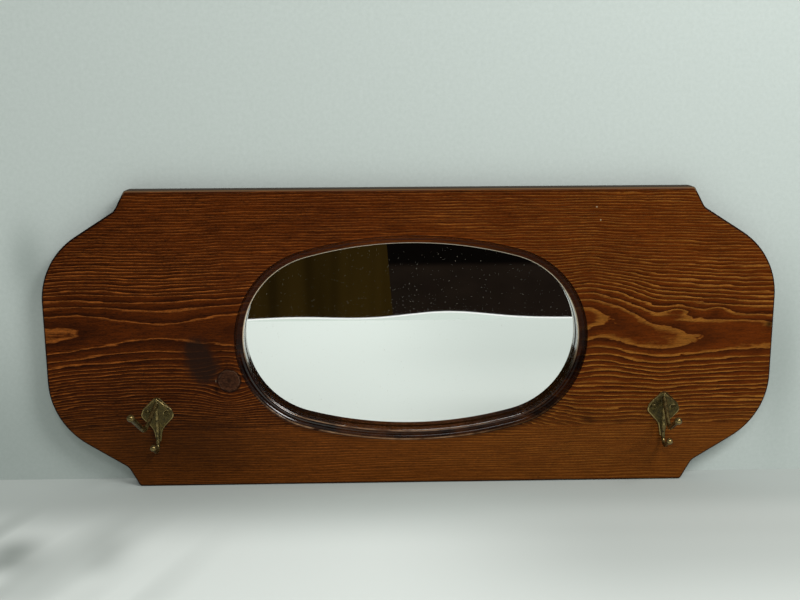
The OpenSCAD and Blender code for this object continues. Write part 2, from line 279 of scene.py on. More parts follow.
def moulding_cutter():
    """What the router takes away: rim, hollow, quirk, round and straight wall, from the face down."""
    steps = [(RIM_ROUND, RIM_ROUND), (0, RIM_STEP), (COVE_IN, 0)]
    cove = quarter(10)
    steps += [
        (COVE_R * (math.cos(a) - math.cos(b)), COVE_R * (math.sin(b) - math.sin(a)))
        for a, b in zip(cove, cove[1:])
    ]
    steps.append((QUIRK_W, 0))
    ovolo = quarter(8)
    steps += [
        (OVOLO_R * (math.sin(b) - math.sin(a)), OVOLO_R * (math.cos(a) - math.cos(b)))
        for a, b in zip(ovolo, ovolo[1:])
    ]
    tool = outline_face("moulding_cutter", oval(RIM_ROUND), FRONT_Z + OVER)
    only(tool)
    bpy.ops.object.mode_set(mode="EDIT")
    bpy.ops.mesh.select_all(action="SELECT")
    bpy.ops.mesh.flip_normals()
    extrude(-OVER)
    for inwards, down in steps:
        if inwards:
            bpy.ops.mesh.inset(thickness=inwards, depth=down, use_even_offset=True)
        else:
            extrude(-down)
    extrude(-FRONT_Z)
    bpy.ops.mesh.select_all(action="SELECT")
    bpy.ops.mesh.normals_make_consistent(inside=False)
    bpy.ops.object.mode_set(mode="OBJECT")
    return tool


def planks():
    """The board with its moulding, recess and pockets, sawn into its two planks at the glue line."""
    board = slab("board", board_outline(), BACK_Z, FRONT_Z)
    round_edges(board, at_height(FRONT_Z), FRONT_ROUND, 6)
    round_edges(board, at_height(BACK_Z), BACK_ROUND, 3)
    cut(board, moulding_cutter())
    below = BACK_Z - OVER
    cut(board, slab("recess_cutter", oval(GLASS_LAP + GLASS_GAP), below, RECESS_Z))
    for side in (-1, 1):
        pocket_shape = stadium(HANGER_W + POCKET_GAP, HANGER_H + POCKET_GAP)
        pocket = slab("pocket_cutter", pocket_shape, below, BACK_Z + HANGER_T)
        room = slab("room_cutter", stadium(KEY_ROOM_W, KEY_ROOM_H), below, BACK_Z + KEY_DEPTH)
        for tool in (pocket, room):
            tool.location = (side * HANGER_X, HANGER_Y, 0)
            cut(board, tool)
    sawn = []
    for name, above in (("upper_board", True), ("lower_board", False)):
        only(board)
        bpy.ops.object.duplicate()
        plank = named(name)
        bpy.ops.object.mode_set(mode="EDIT")
        bpy.ops.mesh.select_all(action="SELECT")
        bpy.ops.mesh.bisect(
            plane_co=(0, SEAM_Y, 0), plane_no=(0, 1, 0), use_fill=True,
            clear_inner=above, clear_outer=not above,
        )
        bpy.ops.object.mode_set(mode="OBJECT")
        sawn.append(stand_up(plank))
    bpy.data.objects.remove(board)
    return sawn


def mirror_sheet():
    """The silvered glass, with the thin dark line where it meets the wood as a face ring of its own."""
    sheet = slab("mirror_sheet", oval(GLASS_LAP), BACK_Z, RECESS_Z)
    only(sheet)
    bpy.ops.object.mode_set(mode="EDIT")
    pick(sheet, "FACE", at_height(RECESS_Z))
    bpy.ops.mesh.inset(thickness=GLASS_LAP + WALL_IN, depth=0)
    bpy.ops.mesh.inset(thickness=SILVER_STEP, depth=-SILVER_DEPTH)
    bpy.ops.object.mode_set(mode="OBJECT")
    return stand_up(sheet)


def bar(name, stations):
    """A round bar through (v, u, radius) stations, closed at both ends."""
    bpy.ops.object.select_all(action="DESELECT")
    bpy.ops.curve.primitive_nurbs_path_add()
    path = named(name)
    spline = path.data.splines[0]
    spline.points.add(len(stations) - len(spline.points))
    for point, (v, u, radius) in zip(spline.points, stations):
        point.co = (0, v, u, 1)
        point.radius = radius
    spline.order_u = 3
    spline.use_endpoint_u = True
    spline.resolution_u = 6
    path.data.bevel_depth = 1
    path.data.bevel_resolution = 6
    path.data.use_fill_caps = True
    bpy.ops.object.convert(target="MESH")
    return bpy.context.object


def prong(name, root, heading, run, bend_r, rise, tip, radii):
    """A bar that leaves the plate, bends up and rises to its tip. Places are (u, v), angles in degrees."""
    start, turn = Vector(root), math.radians(heading)
    end = start + Vector((math.cos(turn), math.sin(turn))) * run
    centre = end + Vector((-math.sin(turn), math.cos(turn))) * bend_r
    way = [start, start.lerp(end, 0.33), start.lerp(end, 0.67)]
    foot = len(way)
    for k in range(PRONG_BENDS + 1):
        angle = math.radians(heading + (rise - heading) * k / PRONG_BENDS) - math.pi / 2
        way.append(centre + Vector((math.cos(angle), math.sin(angle))) * bend_r)
    way += [way[-1].lerp(Vector(tip), 0.5), Vector(tip)]
    first, middle, last = radii
    beyond = len(way) - 1 - foot
    stations = []
    for k, (u, v) in enumerate(way):
        radius = first + (middle - first) * min(k / foot, 1) + (last - middle) * max((k - foot) / beyond, 0)
        stations.append((v, u, radius))
    return bar(name, stations)


def ball(name, u, v, radius):
    """A ball on the end of a prong."""
    bpy.ops.object.select_all(action="DESELECT")
    bpy.ops.mesh.primitive_uv_sphere_add(
        segments=32, ring_count=20, radius=radius, location=(0, v, u)
    )
    return named(name)


def shield(name):
    """The hook's plate: a shield with a bevelled edge and a raised middle line."""
    half = [
        (2.6, -PLATE_TAIL, 2.2), (4.9, -17.5, 16), (PLATE_W / 2 + 1.6, -3.5, 6),
        (PLATE_W / 2 - 1.4, 4.5, 5),
    ]
    corners = half + [(0, PLATE_TOP + 2.2, 5)] + [(-x, y, r) for x, y, r in reversed(half)]
    face_z = PLATE_T - PLATE_BEVEL
    plate = slab(name, rounded(corners, 8), 0.05, face_z)
    round_edges(plate, at_height(face_z), PLATE_BEVEL, 1)
    only(plate)
    bpy.ops.object.mode_set(mode="EDIT")
    pick(plate, "FACE", at_height(face_z))
    bpy.ops.mesh.bisect(plane_co=(0, 0, 0), plane_no=(1, 0, 0))
    bpy.ops.transform.translate(value=(0, 0, PLATE_RIDGE))
    bpy.ops.object.mode_set(mode="OBJECT")
    return plate


def hook(name, side, lean, droop):
    """One cast double hook: shield, prongs and balls melted into one casting, then drilled for screws.

    lean and droop are how far its upper prong has been bent sideways and down in use, in degrees.
    """
    plate = shield(name)
    upper = prong(
        "upper", root=(1.8, 10.5), heading=-29, run=34, bend_r=8,
        rise=40, tip=(66, 14.8), radii=(2.5, 2.2, 2.7),
    )
    lower = prong(
        "lower", root=(2.6, 12), heading=-87, run=43, bend_r=8,
        rise=34, tip=(28.2, -29.3), radii=(1.7, 2.0, 2.3),
    )
    balls = [ball("upper_ball", 67, 15.5, UPPER_BALL_R), ball("lower_ball", 29, -28.8, LOWER_BALL_R)]
    only(upper)
    balls[0].select_set(True)
    for axis, bend in (("Y", lean), ("X", -droop)):
        bpy.ops.transform.rotate(
            value=math.radians(bend), orient_axis=axis, orient_type="GLOBAL", center_override=(0, 10, 2)
        )
    casting = join([plate, upper, lower, *balls])
    bpy.ops.object.transform_apply(location=True, rotation=True, scale=True)
    apply(casting, "REMESH", mode="VOXEL", voxel_size=CAST_VOXEL)
    apply(casting, "SMOOTH", factor=0.5, iterations=3)
    for x in (-HOOK_SCREW_X, HOOK_SCREW_X):
        bpy.ops.object.select_all(action="DESELECT")
        bpy.ops.mesh.primitive_cone_add(
            vertices=48, radius1=0.6, radius2=4.6, depth=4, location=(x, 0, PLATE_T - 0.7)
        )
        cut(casting, named("countersink"))
    mark_worn_lit_edges(casting)
    casting.location = (side * HOOK_X, HOOK_Y, FRONT_Z)
    return stand_up(casting, 50)


def mark_worn_lit_edges(casting):
    """Stores how far each point stands out as an edge, where the metal is worn bright and where its colour
    also stands in for highlights.
    """
    mesh = bmesh.new()
    mesh.from_mesh(casting.data)
    wear_and_glint = mesh.verts.layers.float.new("wear_and_glint")
    for vert in mesh.verts:
        around = sum((edge.other_vert(vert).co for edge in vert.link_edges), Vector())
        around /= len(vert.link_edges)
        vert[wear_and_glint] = (vert.co - around).dot(vert.normal)
    for _ in range(3):
        spread = {}
        for vert in mesh.verts:
            around = sum(edge.other_vert(vert)[wear_and_glint] for edge in vert.link_edges)
            spread[vert] = around / len(vert.link_edges)
        for vert, value in spread.items():
            vert[wear_and_glint] = (vert[wear_and_glint] + value) / 2
    mesh.to_mesh(casting.data)
    mesh.free()


# ---------------------------------------------------------------- shading

class Socket:
    """A shader socket. Arithmetic on it adds Math nodes to its finish."""

    def __init__(self, finish, socket):
        self.finish = finish
        self.socket = socket

    def math(self, operation, *inputs):
        return self.finish.add("ShaderNodeMath", {"operation": operation}, dict(enumerate(inputs)))

    def __add__(self, other):
        return self.math("ADD", self, other)

    def __sub__(self, other):
        return self.math("SUBTRACT", self, other)

    def __rsub__(self, other):
        return self.math("SUBTRACT", other, self)

    def __mul__(self, other):
        return self.math("MULTIPLY", self, other)

    def __truediv__(self, other):
        return self.math("DIVIDE", self, other)

    def __rtruediv__(self, other):
        return self.math("DIVIDE", other, self)

    def __neg__(self):
        return self.math("MULTIPLY", self, -1)

    def __abs__(self):
        return self.math("ABSOLUTE", self)

    def __gt__(self, other):
        return self.math("GREATER_THAN", self, other)

    def __lt__(self, other):
        return self.math("LESS_THAN", self, other)

    __radd__ = __add__
    __rmul__ = __mul__

    def root(self):
        return self.math("SQRT", self)

    def exp(self):
        return self.math("EXPONENT", self)

    def fraction(self):
        return self.math("FRACT", self)

    def at_least(self, other):
        return self.math("MAXIMUM", self, other)

    def at_most(self, other):
        return self.math("MINIMUM", self, other)

    def between(self, low, high):
        return self.at_least(low).at_most(high)

    def distance(self, other):
        """How far off a point is that lies this far across and the other value up."""
        return (self * self + other * other).root()

    def step(self, low, high):
        """0 at low and 1 at high, with a soft change between them. Low may be the greater one."""
        settings = {"interpolation_type": "SMOOTHSTEP"}
        sockets = {"Value": self, "From Min": low, "From Max": high}
        return self.finish.add("ShaderNodeMapRange", settings, sockets)

    def bell(self, spread):
        """1 where the value is 0, falling softly to 0 at both sides of it."""
        return (-(self * self) / spread).exp()

    def peak(self, width):
        """1 where the value is 0, falling straight to 0 at a width from it."""
        return 1 - (abs(self) / width).at_most(1)


class Finish:
    """A material, its nodes, and the place on the piece in millimetres, x right and z up."""

    def __init__(self, name):
        self.material = bpy.data.materials.new(name)
        self.material.use_nodes = True
        self.tree = self.material.node_tree
        self.tree.nodes.clear()
        place = self.add("ShaderNodeTexCoord", output="Object")
        for axis in "XYZ":
            setattr(self, axis.lower(), self.add("ShaderNodeSeparateXYZ", {}, {0: place}, axis) * (1 / MM))

    def add(self, kind, settings=None, sockets=None, output=0):
        """Adds a node with its settings, then the values or links of its sockets."""
        node = self.tree.nodes.new(kind)
        for key, value in (settings or {}).items():
            setattr(node, key, value)
        for key, value in (sockets or {}).items():
            if isinstance(value, Socket):
                self.tree.links.new(value.socket, node.inputs[key])
            else:
                node.inputs[key].default_value = value
        return Socket(self, node.outputs[output]) if node.outputs else None

    def noise(self, u, v, w=0.0, detail=2.0, roughness=0.5):
        """Smooth noise about zero, from -0.5 to 0.5."""
        where = self.add("ShaderNodeCombineXYZ", {}, {0: u, 1: v, 2: w})
        sockets = {"Vector": where, "Scale": 1.0, "Detail": detail, "Roughness": roughness}
        return self.add("ShaderNodeTexNoise", {}, sockets) - 0.5

    def spot(self, x, z, width, height):
        """1 in the middle of a soft oval spot, 0 far from it."""
        across = (self.x - x) / width
        up = (self.z - z) / height
        return (-(across * across + up * up)).exp()

    def dimmed(self, value, x, z, width, height, share):
        """A value that loses a share of itself in a soft oval spot."""
        return value * (1 - self.spot(x, z, width, height) * share)

    def along(self, x, width):
        """1 at a place along the board, falling softly to 0 at both sides of it."""
        across = (self.x - x) / width
        return (-(across * across)).exp()

    def scratch(self, x1, z1, x2, z2, width):
        """1 on a thin, slightly wandering scratch between two places, fading at its ends."""
        length = math.hypot(x2 - x1, z2 - z1)
        across, up = self.x - x1, self.z - z1
        run = (across * (x2 - x1) + up * (z2 - z1)) / length
        off = (across * (z2 - z1) - up * (x2 - x1)) / length + self.noise(run / 7, x1) * 2
        return off.peak(width) * run.step(0, 3) * (1 - run.step(length - 3, length))

    def mix(self, factor, first, second, blend="MIX"):
        """The first colour where the factor is 0, the second where it is 1."""
        settings = {"data_type": "RGBA", "blend_type": blend}
        return self.add("ShaderNodeMix", settings, {0: factor, 6: first, 7: second}, 2)

    def bump(self, height, distance):
        """A normal for a surface that a height of 1 lifts by a distance in metres."""
        sockets = {"Height": height, "Distance": distance, "Strength": 1.0}
        return self.add("ShaderNodeBump", {}, sockets)

    def done(self, **sockets):
        """Ends in a Principled shader, whose sockets are given with _ for a space."""
        sockets = {key.replace("_", " "): value for key, value in sockets.items()}
        shader = self.add("ShaderNodeBsdfPrincipled", {}, sockets)
        self.add("ShaderNodeOutputMaterial", {}, {"Surface": shader})
        return self.material


def srgb(red, green, blue):
    """A colour written as on screen, 0 to 255, for a shader."""
    def linear(c):
        c /= 255
        return c / 12.92 if c <= 0.04045 else ((c + 0.055) / 1.055) ** 2.4
    return (linear(red), linear(green), linear(blue), 1)


# ---------------------------------------------------------------- finishes

def rim_margin(wood):
    """How far a point lies outside the rim of the oval. It is negative in the moulding."""
    end_x, flat_r, flat_y = flat_arcs()
    across, up = abs(wood.x), abs(wood.z)
    above = up + flat_y
    at_end = (across - end_x).distance(up) - OVAL_END_R
    at_flat = across.distance(above) - flat_r
    is_end = across * flat_y > above * end_x
    return at_flat + (at_end - at_flat) * is_end


def upper_rings(wood):
    """Year rings of the wide plank, and how near a point is to the heart line.

    The rings lie round a pith behind the face. Where its depth changes along the plank, they close
    to flames. Round the knot they bend aside.
    """
    x, z = wood.x, wood.z
    z = z - (z - KNOT_Z) * wood.spot(KNOT_X, KNOT_Z, 25, 25) * 0.8
    swing = (wood.along(190, 28) * 10 - x.step(212, 268) * 14) * (z - 12).bell(2600)
    heart_line = 12 - wood.along(-398, 38) * 5 + swing
    height = z - heart_line - wood.noise(x / 34, z / 40, 4.0) * 2.5
    depth = 1500 + wood.along(-262, 74) * 396 + x.step(150, 390) * 700
    depth = depth - wood.along(181, 18) * 130 - wood.along(272, 15) * 70
    pith = (height * height + depth).root()
    open_side = x.step(60, 200) * z.step(20, -60)
    rings = pith * 0.225 + (pith - 56).at_least(0) * (0.145 - open_side * 0.12)
    near = 1 / (1 + height * height / 900)
    rings = rings + wood.noise(x / 55, z / 16, 1.0) * (0.7 - near * 0.45)
    rings = rings + wood.noise(x / 90, z / 5, 5.0) * (1.5 - near * 1.35)
    rings = rings + wood.noise(x / 13, z / 5, 6.0) * (0.16 + x.step(170, 230) * near * 0.34)
    rings = rings - wood.spot(281, 29, 15, 6) * 0.9 - wood.spot(321, 28, 12, 6) * 0.75
    return rings - wood.spot(352, 14, 26, 6) * 0.6, near


def lower_rings(wood):
    """Year rings of the narrow plank: close, straight and faint."""
    drift = wood.noise(wood.x / 180, wood.z / 30, 7.0) * 4 + wood.noise(wood.x / 40, wood.z / 8) * 0.5
    return wood.z * 0.36 + drift, wood.x * 0


def grain(wood, rings, contrast, moulded):
    """Colour and relief of the grain: soft wood took the stain, hard lines stand up and stay orange."""
    x, z = wood.x, wood.z
    count, near = rings(wood)
    phase = count.fraction()
    streak = wood.noise(x / 22, z * 0.5, 3.0, detail=3, roughness=0.6)
    right_heart = near * x.step(150, 200)
    full = wood.spot(206, 14, 18, 13) * 0.25 + wood.spot(272, -3, 30, 9) * 0.25
    width = 0.44 - near * (0.33 - wood.along(-385, 24) * 0.16)
    width = width + right_heart * (0.24 + full) + streak * 0.3
    line = phase.step(1 - width, 1 - width * 0.35) * (1 - phase.step(0.95, 1.0))
    trough = 1 - phase.step(0.0, 0.5)
    patch = wood.noise(x / 70, z / 14, 2.0, detail=3)
    strength = patch * 1.7 + 0.68 + near * (0.5 + x.step(0, -200) * 0.5) + streak * 1.6
    strength = strength * (1 - z.step(35, 105) * 0.45)
    strength = strength * (1 - z.step(-72, -96) * 0.35) * (1 - moulded * 0.7)
    strength = wood.dimmed(strength, -219, -16, 24, 26, 0.7)
    strength = strength * (1 + wood.spot(-330, 62, 80, 34) * 1.1)
    strength = strength.between(0.1, 1) * contrast
    soft = wood.mix(z.step(-50, -110), srgb(86, 36, 2), srgb(88, 45, 9))
    colour = wood.mix(trough * strength * (1 - near * 0.45), soft, srgb(38, 11, 0))
    hard = wood.mix(x.step(-120, 160), srgb(156, 86, 30), srgb(147, 94, 33))
    relief = line * strength
    return wood.mix(relief * (1 - right_heart * 0.45), colour, hard), relief


def old_marks(wood, front):
    """Share of the light that soft dark patches and scratches leave."""
    dark = 1 - wood.spot(-219, -16, 26, 28) * 0.3 * front
    dark = wood.dimmed(dark, -60, 135, 90, 30, 0.1)
    dark = wood.dimmed(dark, -262, -100, 110, 60, 0.42)
    dark = wood.dimmed(dark, -212, -118, 45, 32, 0.25)
    dark = wood.dimmed(dark, -310, -48, 70, 24, 0.12)
    dark = wood.dimmed(dark, 188, -89, 8, 4, 0.5)
    dark = wood.dimmed(dark, 222, -92, 7, 3, 0.35)
    scratches = wood.scratch(-270, -119, -291, -141, 0.5) + wood.scratch(-301, 124, -274, 92, 0.4)
    scratches = scratches + wood.scratch(-292, 128, -262, 96, 0.3)
    scratches = scratches + wood.scratch(-286, 84, -262, 79, 0.4)
    return dark * (1 - scratches * front * 0.5)


def knots(wood, colour, dark):
    """The round knot by the mirror, with its rings and broken dark outline, and two dark specks."""
    x, z = wood.x, wood.z
    from_centre = (x - KNOT_X).distance(z - KNOT_Z) + wood.noise(x / 6, z / 6, 3.0) * 3
    inside = 1 - from_centre.step(11.5, 13)
    rings = from_centre * 0.2 + wood.noise(x / 4, z / 4, 6.0, detail=3) * 1.8
    heartwood = wood.mix(rings.fraction().step(0.1, 1.0), srgb(66, 38, 23), srgb(84, 50, 31))
    colour = wood.mix(inside, colour, heartwood)
    pale = (from_centre - 11).peak(0.6) * (wood.noise(x / 5, z / 5, 12.0) * 4 + 0.3).between(0, 0.5)
    colour = wood.mix(pale, colour, srgb(134, 100, 76))
    broken = (wood.noise(x / 3, z / 3, 8.0) * 3 + 0.9).between(0.1, 1)
    dark = dark * (1 - (from_centre - 12.4).peak(1.2) * broken * 0.9)
    dark = dark * (1 - (1 - from_centre.step(0.6, 3.2)) * 0.35)
    dark = wood.dimmed(dark, -205, -51, 3, 6, 0.75)
    return colour, wood.dimmed(dark, 376.5, 12.7, 4, 4, 0.85)


def edges(wood, margin, moulded, top, dark):
    """Darkens the board's edges and the moulding, partly where stain built up and partly as painted shade,
    and paints light on the moulding's top and bottom wall.
    """
    x, z = wood.x, wood.z
    # Side and bottom edges darker: built-up stain and painted shade; the top edge is left out, as it
    # catches the light.
    edge = (wood.y + FRONT_Z).step(0.02, 0.5) * (1 - moulded) * (1 - top)
    # A dark line where the top edge's rounding meets the face.
    edge = edge + (z - TOP_ARRIS_Z).bell(0.7) * 0.55
    # Painted light: the moulding's darkening is eased at its top middle and on its lit bottom wall.
    in_wall = (-margin).step(WALL_IN - 0.6, WALL_IN + 0.2)
    moulding_painted_light = wood.spot(-20, 112, 130, 22) * 0.9 + wood.spot(0, -104, 130, 20) * in_wall * 0.7
    dark = dark * (1 - edge * 0.86) * (1 - moulded * (0.6 - moulding_painted_light))
    # Painted highlight along the top of the rim, with painted shade in the hollow just inside it.
    lit = (margin + 0.2).bell(3) - (margin + 4).bell(1) * 0.6
    dark = dark * (1 + lit * z.step(80, 95) * wood.along(-10, 150) * 0.75)
    # Darker just outside the rim along the lower sides, away from the middle.
    ends = 1 - wood.along(0, 60)
    dark = dark * (1 - (1 - margin.step(1, 6)) * (1 - moulded) * z.step(-60, -85) * ends * 0.45)
    # Stain built up in the moulding's lower half, eased by painted light on the middle of the bottom wall.
    uneven = (wood.noise(x / 22, z / 22, 5.0, detail=3) + 0.55).step(0.3, 0.7)
    build_up = moulded * z.step(40, -20) * uneven
    return dark * (1 - build_up * (0.85 - wood.spot(0, -104, 110, 18) * in_wall * 0.6))


def marks_and_painted_light(wood, margin, top, front, colour):
    """The smudge beside the knot, light lines on the moulding's ridges, a painted highlight on its upper
    inner edge, the top edge's painted reflection and highlight, and small chips.
    """
    x, z = wood.x, wood.z
    smudge = wood.spot(-225, -9, 13, 15) + wood.spot(-217, -30, 16, 17) * 1.1
    smudge = (smudge + wood.noise(x / 5, z / 11, 11.0, detail=3) * 0.6).step(0.12, 0.85) * front
    colour = wood.mix(smudge * 0.8, colour, srgb(29, 18, 12))
    # Painted highlight: a cream line along the upper inner edge of the moulding, where it catches the
    # light.
    arris = (-margin).step(WALL_IN - 1.1, WALL_IN - 0.5) * (wood.y + 10).step(-2, -4) * z.step(-40, 20)
    colour = wood.mix(arris * 0.95, colour, srgb(205, 182, 150))
    # Light lines on the moulding's lower ridges: partly worn varnish, partly painted highlight, broken up
    # by noise.
    rubbed_and_lit = (wood.noise(x / 18, z / 3, 13.0, detail=3) * 3 + 0.6).between(0, 1)
    ridges = (margin + (WALL_IN - 0.7)).peak(0.6) + (margin + COVE_IN).peak(0.6)
    ridges = ridges * z.step(-50, -80) * rubbed_and_lit
    colour = wood.mix(ridges * (1 - x.step(30, 110) * 0.8) * 0.6, colour, srgb(186, 146, 108))
    # Painted reflection of the pale wall on the top edge, and a painted highlight on its front rounding.
    depth = wood.y + FRONT_Z
    top_reflection_and_highlight = wood.mix(depth.step(0.9, 1.9), srgb(98, 74, 50), srgb(60, 50, 38))
    colour = wood.mix(top * depth.step(0.15, 0.5), colour, top_reflection_and_highlight)
    chips = (wood.spot(190, 138, 1.1, 0.9) + wood.spot(194.5, 124.5, 0.8, 1.1)).step(0.3, 0.7)
    chips = chips + wood.spot(-205.5, -42, 0.4, 1.3) * 0.6
    return wood.mix(chips * front * 0.6, colour, srgb(170, 150, 118))


def stained_pine(name, rings, contrast, tone, knotty):
    """Pine under dark stain and lacquer, with the marks of its age, and with painted light and shade on its
    edges and moulding.
    """
    wood = Finish(name)
    x, z = wood.x, wood.z
    margin = rim_margin(wood)
    moulded = 1 - margin.step(-1.2, 0.2)
    # The top edge, which gets the painted reflection and highlight and is left out of the dark edges.
    top = z.step(152, 155)
    front = 1 - (wood.y + FRONT_Z).step(3, 6)
    colour, relief = grain(wood, rings, contrast, moulded)
    fibre = wood.noise(x / 15, z * 0.8, wood.y / 3, detail=4, roughness=0.75)
    pores = wood.noise(x / 3, z * 1.7, wood.y, detail=3, roughness=0.7)
    blotch = wood.noise(x / 60, z / 50, 9.0, detail=4, roughness=0.6)
    dashes = wood.noise(x / 7, z * 0.9, 15.0, detail=2).step(0.1, 0.26)
    shade = tone + x / 2000 + blotch * 0.45 + fibre * 1.7 + pores * 1.5 - dashes * 0.32
    dark = old_marks(wood, front)
    if knotty:
        colour, dark = knots(wood, colour, dark)
    shade = shade.at_least(0.1) * edges(wood, margin, moulded, top, dark)
    grey = wood.add("ShaderNodeCombineXYZ", {}, {0: shade, 1: shade, 2: shade})
    colour = wood.mix(1.0, colour, grey, "MULTIPLY")
    inner = (-margin).step(WALL_IN - 1.2, WALL_IN - 0.4)
    low_left = z.step(10, -60) * (0.12 + x.step(20, -120) * 0.78)
    varnish = moulded * (0.1 + low_left) + inner * 0.8
    return wood.done(
        Base_Color=marks_and_painted_light(wood, margin, top, front, colour),
        Roughness=0.38 + fibre * 0.16 + pores * 0.1 - moulded * 0.12,
        Normal=wood.bump(relief + fibre * 0.3, 0.00016),
        Specular_IOR_Level=0.05,
        Coat_Weight=varnish.at_most(1),
        Coat_Roughness=0.08,
    )


def silvering():
    """Bright silver with specks of dust."""
    mirror = Finish("silvering")
    dust = mirror.noise(mirror.x * 1.05, mirror.z * 1.05, 4.0, detail=0)
    smear = mirror.noise(mirror.x / 18, mirror.z / 9, 6.0, detail=2)
    speck = (dust + smear * 0.05 + mirror.spot(0, 36, 70, 14) * 0.03).step(0.33, 0.36)
    colour = mirror.mix(speck, srgb(246, 249, 247), srgb(160, 154, 138))
    return mirror.done(Base_Color=colour, Metallic=1 - speck, Roughness=0.015 + speck * 0.6)


def shadow_gap():
    """Painted shadow: the dark line between the silvering and the wood, behind the glass's own thickness.
    """
    gap = Finish("shadow_gap")
    smear = gap.noise(gap.x / 12, gap.z / 12, 1.0)
    colour = gap.mix(smear + 0.5, srgb(20, 10, 3), srgb(40, 22, 8))
    return gap.done(Base_Color=colour, Roughness=0.9, Specular_IOR_Level=0.0)


def back_paint():
    """Grey protective paint on the mirror's back and edge."""
    paint = Finish("mirror_back_paint")
    mottle = paint.noise(paint.x / 9, paint.z / 9, 5.0, detail=4)
    colour = paint.mix(mottle + 0.5, srgb(92, 96, 98), srgb(120, 124, 126))
    return paint.done(Base_Color=colour, Roughness=0.55 + mottle * 0.2)


def antique_brass(name, worn):
    """Brass gone olive brown, bright again where it is worn; the bright edges also stand in as a painted
    highlight.
    """
    brass = Finish(name)
    patch = brass.noise(brass.x / 4, brass.z / 4, brass.y / 4, detail=4, roughness=0.65)
    grit = brass.noise(brass.x * 1.6, brass.z * 1.6, brass.y * 1.6, detail=2)
    edge = brass.x * 0
    if worn:
        edge = brass.add("ShaderNodeAttribute", {"attribute_name": "wear_and_glint"}, {}, "Fac")
    # Bright edges: worn brass and painted highlight.
    bright = (edge * 34 + patch * 1.1 + grit * 0.25).step(0.1, 1.0)
    dull = brass.mix((patch + 0.5).step(0.25, 0.75), srgb(46, 39, 20), srgb(92, 78, 36))
    colour = brass.mix(bright, dull, srgb(182, 158, 102))
    normal = brass.bump(grit + patch, 0.00007)
    rough = 0.28 - bright * 0.06 + grit * 0.12
    return brass.done(Base_Color=colour, Metallic=0.75 + bright * 0.2, Roughness=rough, Normal=normal)


def zinc_steel():
    """Zinc-plated steel of the backing screws and the keyhole plates."""
    zinc = Finish("zinc_steel")
    spangle = zinc.noise(zinc.x / 3, zinc.z / 3, zinc.y / 3, detail=3)
    colour = zinc.mix(spangle + 0.5, srgb(150, 152, 150), srgb(188, 190, 186))
    return zinc.done(Base_Color=colour, Metallic=1.0, Roughness=0.38 + spangle * 0.2)


def hardboard():
    """Hardboard, with the faint print of its pressing screen."""
    board = Finish("hardboard")
    mottle = board.noise(board.x / 3, board.z / 3, 2.0, detail=5, roughness=0.7)
    screen = board.noise(board.x * 0.9, board.z * 0.9, 8.0, detail=1)
    colour = board.mix(mottle + 0.5, srgb(104, 70, 42), srgb(140, 100, 64))
    normal = board.bump(mottle + screen, 0.0002)
    return board.done(Base_Color=colour, Roughness=0.7 + mottle * 0.2, Normal=normal)


def raw_beech():
    """Bare beech of the dowels."""
    beech = Finish("raw_beech")
    fleck = beech.noise(beech.x * 2, beech.z / 4, beech.y * 2, detail=3)
    colour = beech.mix(fleck + 0.5, srgb(186, 142, 98), srgb(216, 178, 136))
    return beech.done(Base_Color=colour, Roughness=0.6 + fleck * 0.2)


# ---------------------------------------------------------------- room

def one_sided(finish, shader):
    """Ends a stage material that is see-through from behind, so that it never hides the object."""
    behind = finish.add("ShaderNodeNewGeometry", output="Backfacing")
    clear = finish.add("ShaderNodeBsdfTransparent")
    seen = finish.add("ShaderNodeMixShader", {}, {0: behind, 1: shader, 2: clear})
    finish.add("ShaderNodeOutputMaterial", {}, {"Surface": seen})
    return finish.material


def matt(finish, colour):
    """Ends a stage material in a matt surface of a colour."""
    return one_sided(finish, finish.add("ShaderNodeBsdfDiffuse", {}, {"Color": colour}))


def papered_wall():
    """A pale mottled paper, in shade round the board's ends."""
    wall = Finish("papered_wall")
    mottle = wall.noise(wall.x / 4, wall.z / 4, 1.0, detail=3, roughness=0.7)
    colour = wall.mix(mottle + 0.5, srgb(178, 187, 182), srgb(196, 204, 200))
    shaded = srgb(120, 130, 125)
    colour = wall.mix(wall.spot(-440, -110, 150, 110) * 0.4, colour, shaded)
    ends = wall.spot(402, -30, 26, 90) * 0.4 + wall.spot(-400, 80, 20, 40) * 0.45
    return matt(wall, wall.mix(ends, colour, shaded))


def white_cloth():
    """A white cloth with painted shade: darker streaks of a few soft creases on the left, greyer near the
    wall and in front of the board's right half, a dark patch in front of its left end, and greyer further
    out on the right.
    """
    cloth = Finish("white_cloth")
    x, y = cloth.x, cloth.y
    # Painted shade of soft creases on the left.
    fold_shade = cloth.noise((x - y * 0.35) / 64, y / 900, 2.0, detail=1)
    fold_shade = fold_shade * x.step(-150, -330) * y.step(-60, -150) * y.step(-330, -260) * 2.6
    # Painted shade: greyer near the wall and the board.
    colour = cloth.mix(y.step(-60, -190), srgb(180, 187, 182), srgb(226, 232, 227))
    colour = cloth.mix(fold_shade.between(0, 0.8), colour, srgb(140, 148, 142))
    # Greyer further out on the right.
    colour = cloth.mix(y.step(-300, -560) * x.step(-200, 420) * 0.75, colour, srgb(176, 183, 178))
    # Painted shade in front of the board's right half.
    beside = x.step(-60, 200) * y.step(-60, -160) * (1 - y.step(-200, -330) * 0.5)
    colour = cloth.mix(beside * 0.8, colour, srgb(182, 188, 183))
    # Painted shadow in front of the board's left end.
    left_end_shade = (cloth.along(-372, 28) + cloth.along(-285, 20) * 0.4) * y.step(-130, -185)
    left_end_shade = left_end_shade * (1 - y.step(-200, -250))
    return matt(cloth, cloth.mix(left_end_shade * 0.7, colour, srgb(112, 120, 114)))


